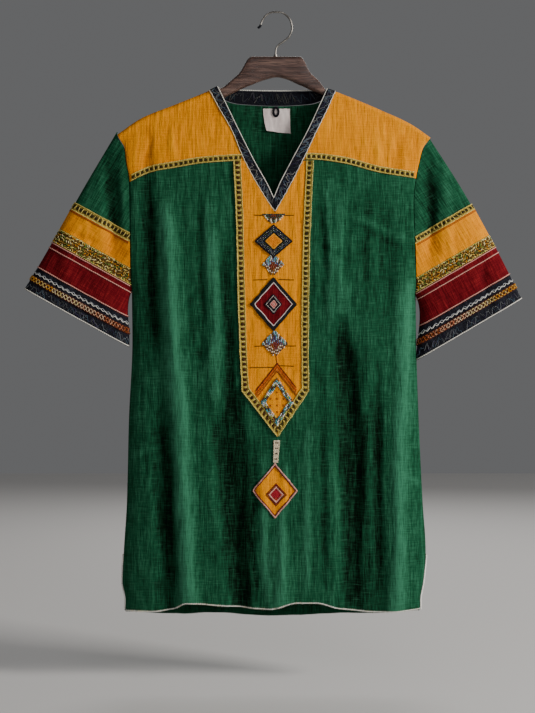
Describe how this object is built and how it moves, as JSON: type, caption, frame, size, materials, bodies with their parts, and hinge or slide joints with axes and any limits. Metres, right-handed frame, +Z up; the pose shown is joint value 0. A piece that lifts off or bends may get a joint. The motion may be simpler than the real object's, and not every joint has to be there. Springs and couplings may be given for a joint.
{
  "type": "v-neck t-shirt on a hanger",
  "caption": "Short-sleeved v-neck tunic with yoke, pointed placket, banded sleeves and side slits, hanging on a wooden hanger with a wire hook.",
  "frame": {"origin": "inside top of the hanger's hook, where a rail or wire carries it", "axes": "+Z up, the garment's front faces -Y, +X to the right of someone who looks at the front"},
  "size_m": [0.7749, 0.0552, 0.9457],
  "materials": {
    "green_linen": "slubbed plain weave, matt",
    "yellow_cotton": "coarse plain weave, matt",
    "red_cotton": "coarse plain weave, matt",
    "charcoal_cotton": "embroidered plain weave, matt",
    "woven_braid": "woven braid",
    "cream_cord": "corded cotton",
    "white_label": "plain woven label, bare",
    "walnut": "oiled dark walnut",
    "steel_wire": "dull drawn wire"
  },
  "bodies": {
    "root": {"front": "green_linen", "back": "green_linen", "yoke_left": "yellow_cotton", "yoke_right": "yellow_cotton", "placket": "yellow_cotton", "placket_braid_left": "woven_braid", "placket_braid_right": "woven_braid", "yoke_braid_left": "woven_braid", "yoke_braid_right": "woven_braid", "neck_band_left": "charcoal_cotton", "neck_band_right": "charcoal_cotton", "neck_band_back": "charcoal_cotton", "neck_cord": "cream_cord", "lozenge_dark": "charcoal_cotton", "lozenge_red": "red_cotton", "lozenge_gold": "yellow_cotton", "tab": "cream_cord", "pendant": "yellow_cotton", "label": "white_label", "label_loop": "charcoal_cotton", "sleeve_left": "green_linen", "cuff_left": "charcoal_cotton", "cuff_braid_left": "woven_braid", "red_band_left": "red_cotton", "gold_braid_left": "woven_braid", "yellow_band_left": "yellow_cotton", "narrow_braid_left": "woven_braid", "sleeve_right": "green_linen", "cuff_right": "charcoal_cotton", "cuff_braid_right": "woven_braid", "red_band_right": "red_cotton", "gold_braid_right": "woven_braid", "yellow_band_right": "yellow_cotton", "narrow_braid_right": "woven_braid", "hanger": "walnut", "hook": "steel_wire"}
  },
  "joints": []
}
